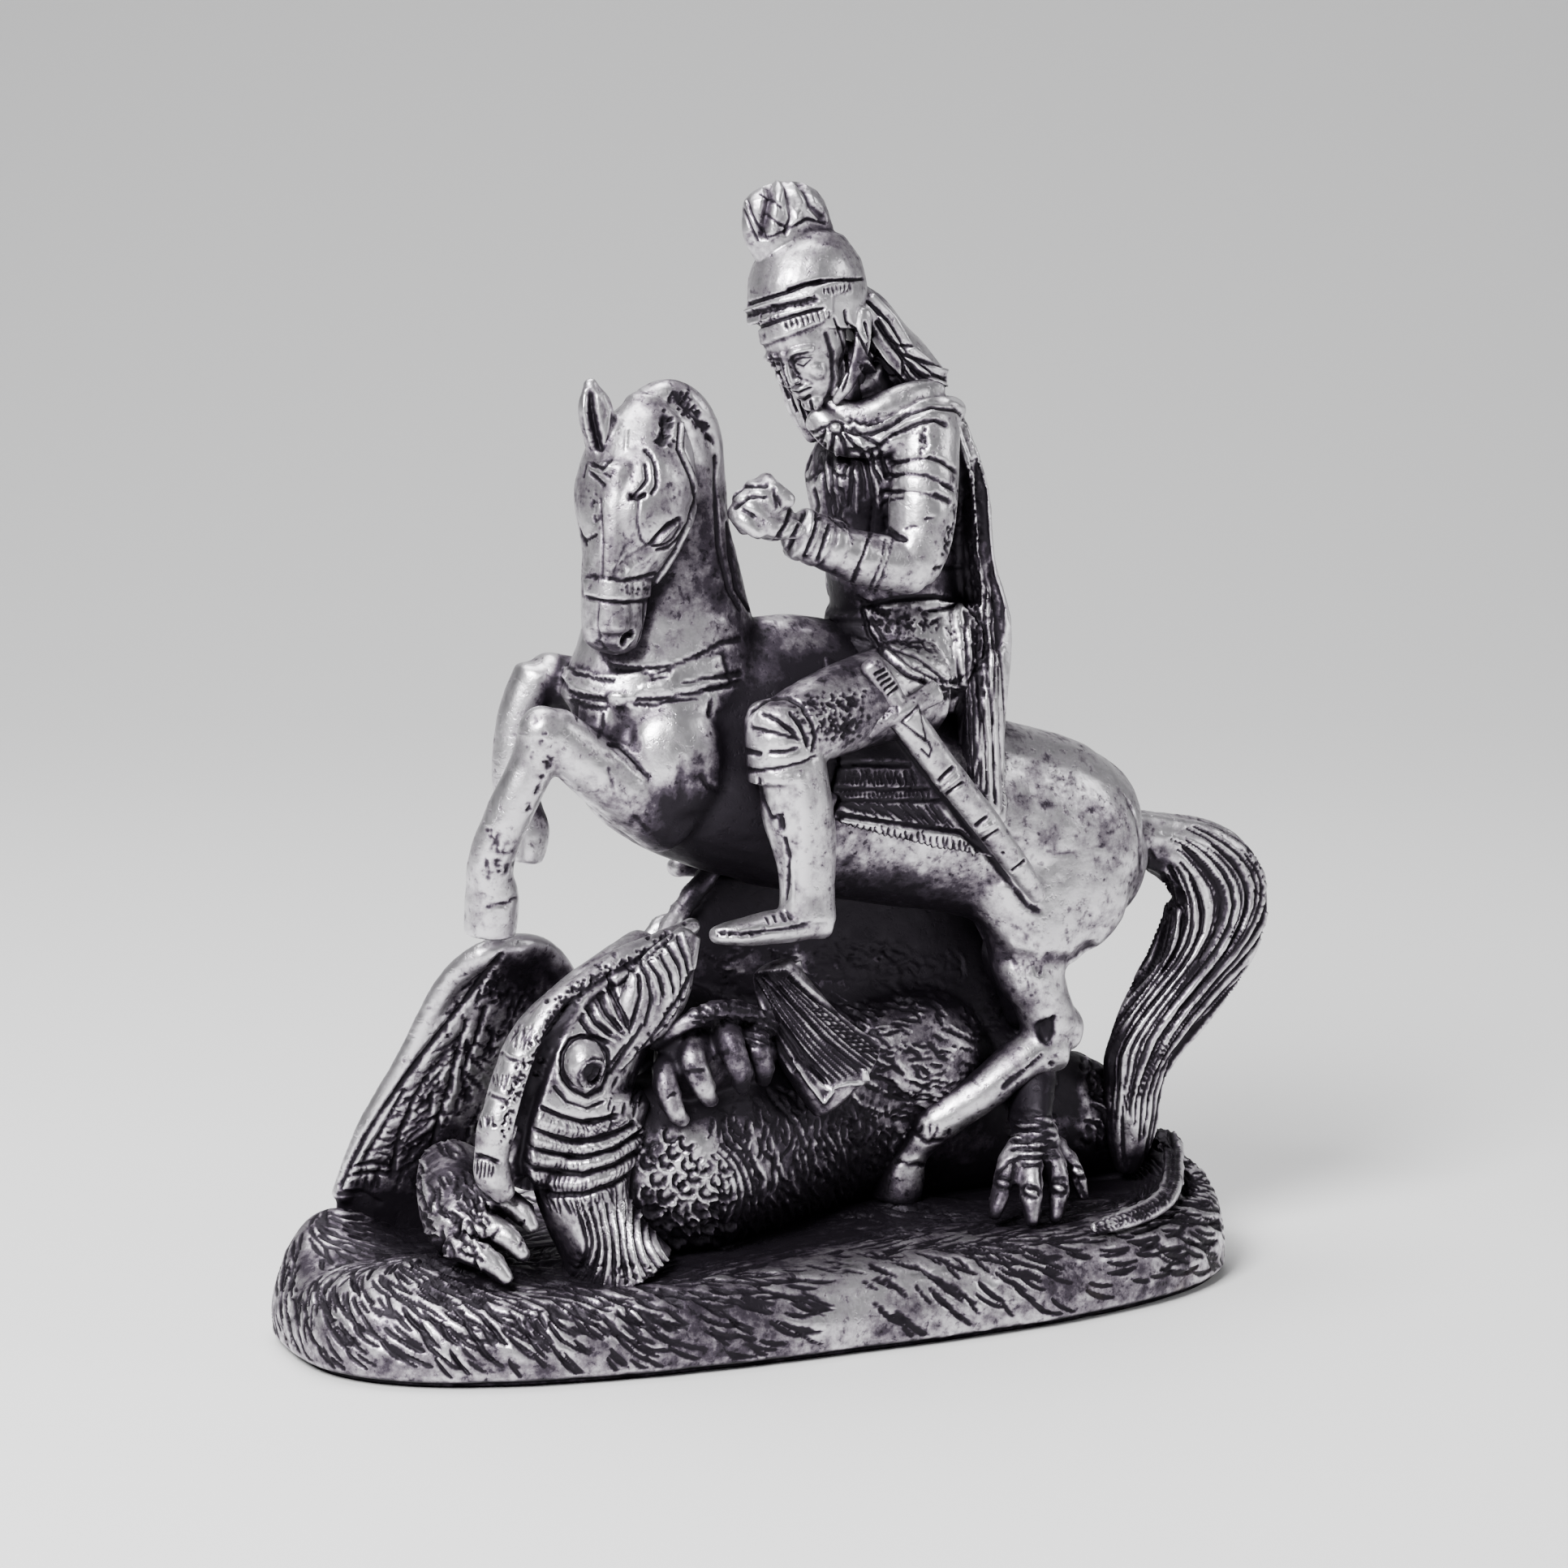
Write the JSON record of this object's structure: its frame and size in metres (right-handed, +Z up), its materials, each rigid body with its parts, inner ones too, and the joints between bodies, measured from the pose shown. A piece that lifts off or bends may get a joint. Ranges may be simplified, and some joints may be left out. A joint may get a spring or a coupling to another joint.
{
  "type": "equestrian statuette",
  "caption": "Oxidised silver statuette: a helmeted rider in a cloak on a rearing horse above a winged dragon, cast in one with its oval grass-covered base",
  "frame": {"origin": "centre of the bounding box on the plane the base stands on", "axes": "+Z up; X along the base's length with the horse facing -X; -Y is the side with the sword and the dragon's face"},
  "size_m": [0.2852, 0.117, 0.2963],
  "materials": {
    "silver": "oxidised silver, dark in the hollows and rubbed bright on the high places"
  },
  "bodies": {
    "root": {"statuette": "silver"}
  },
  "joints": []
}
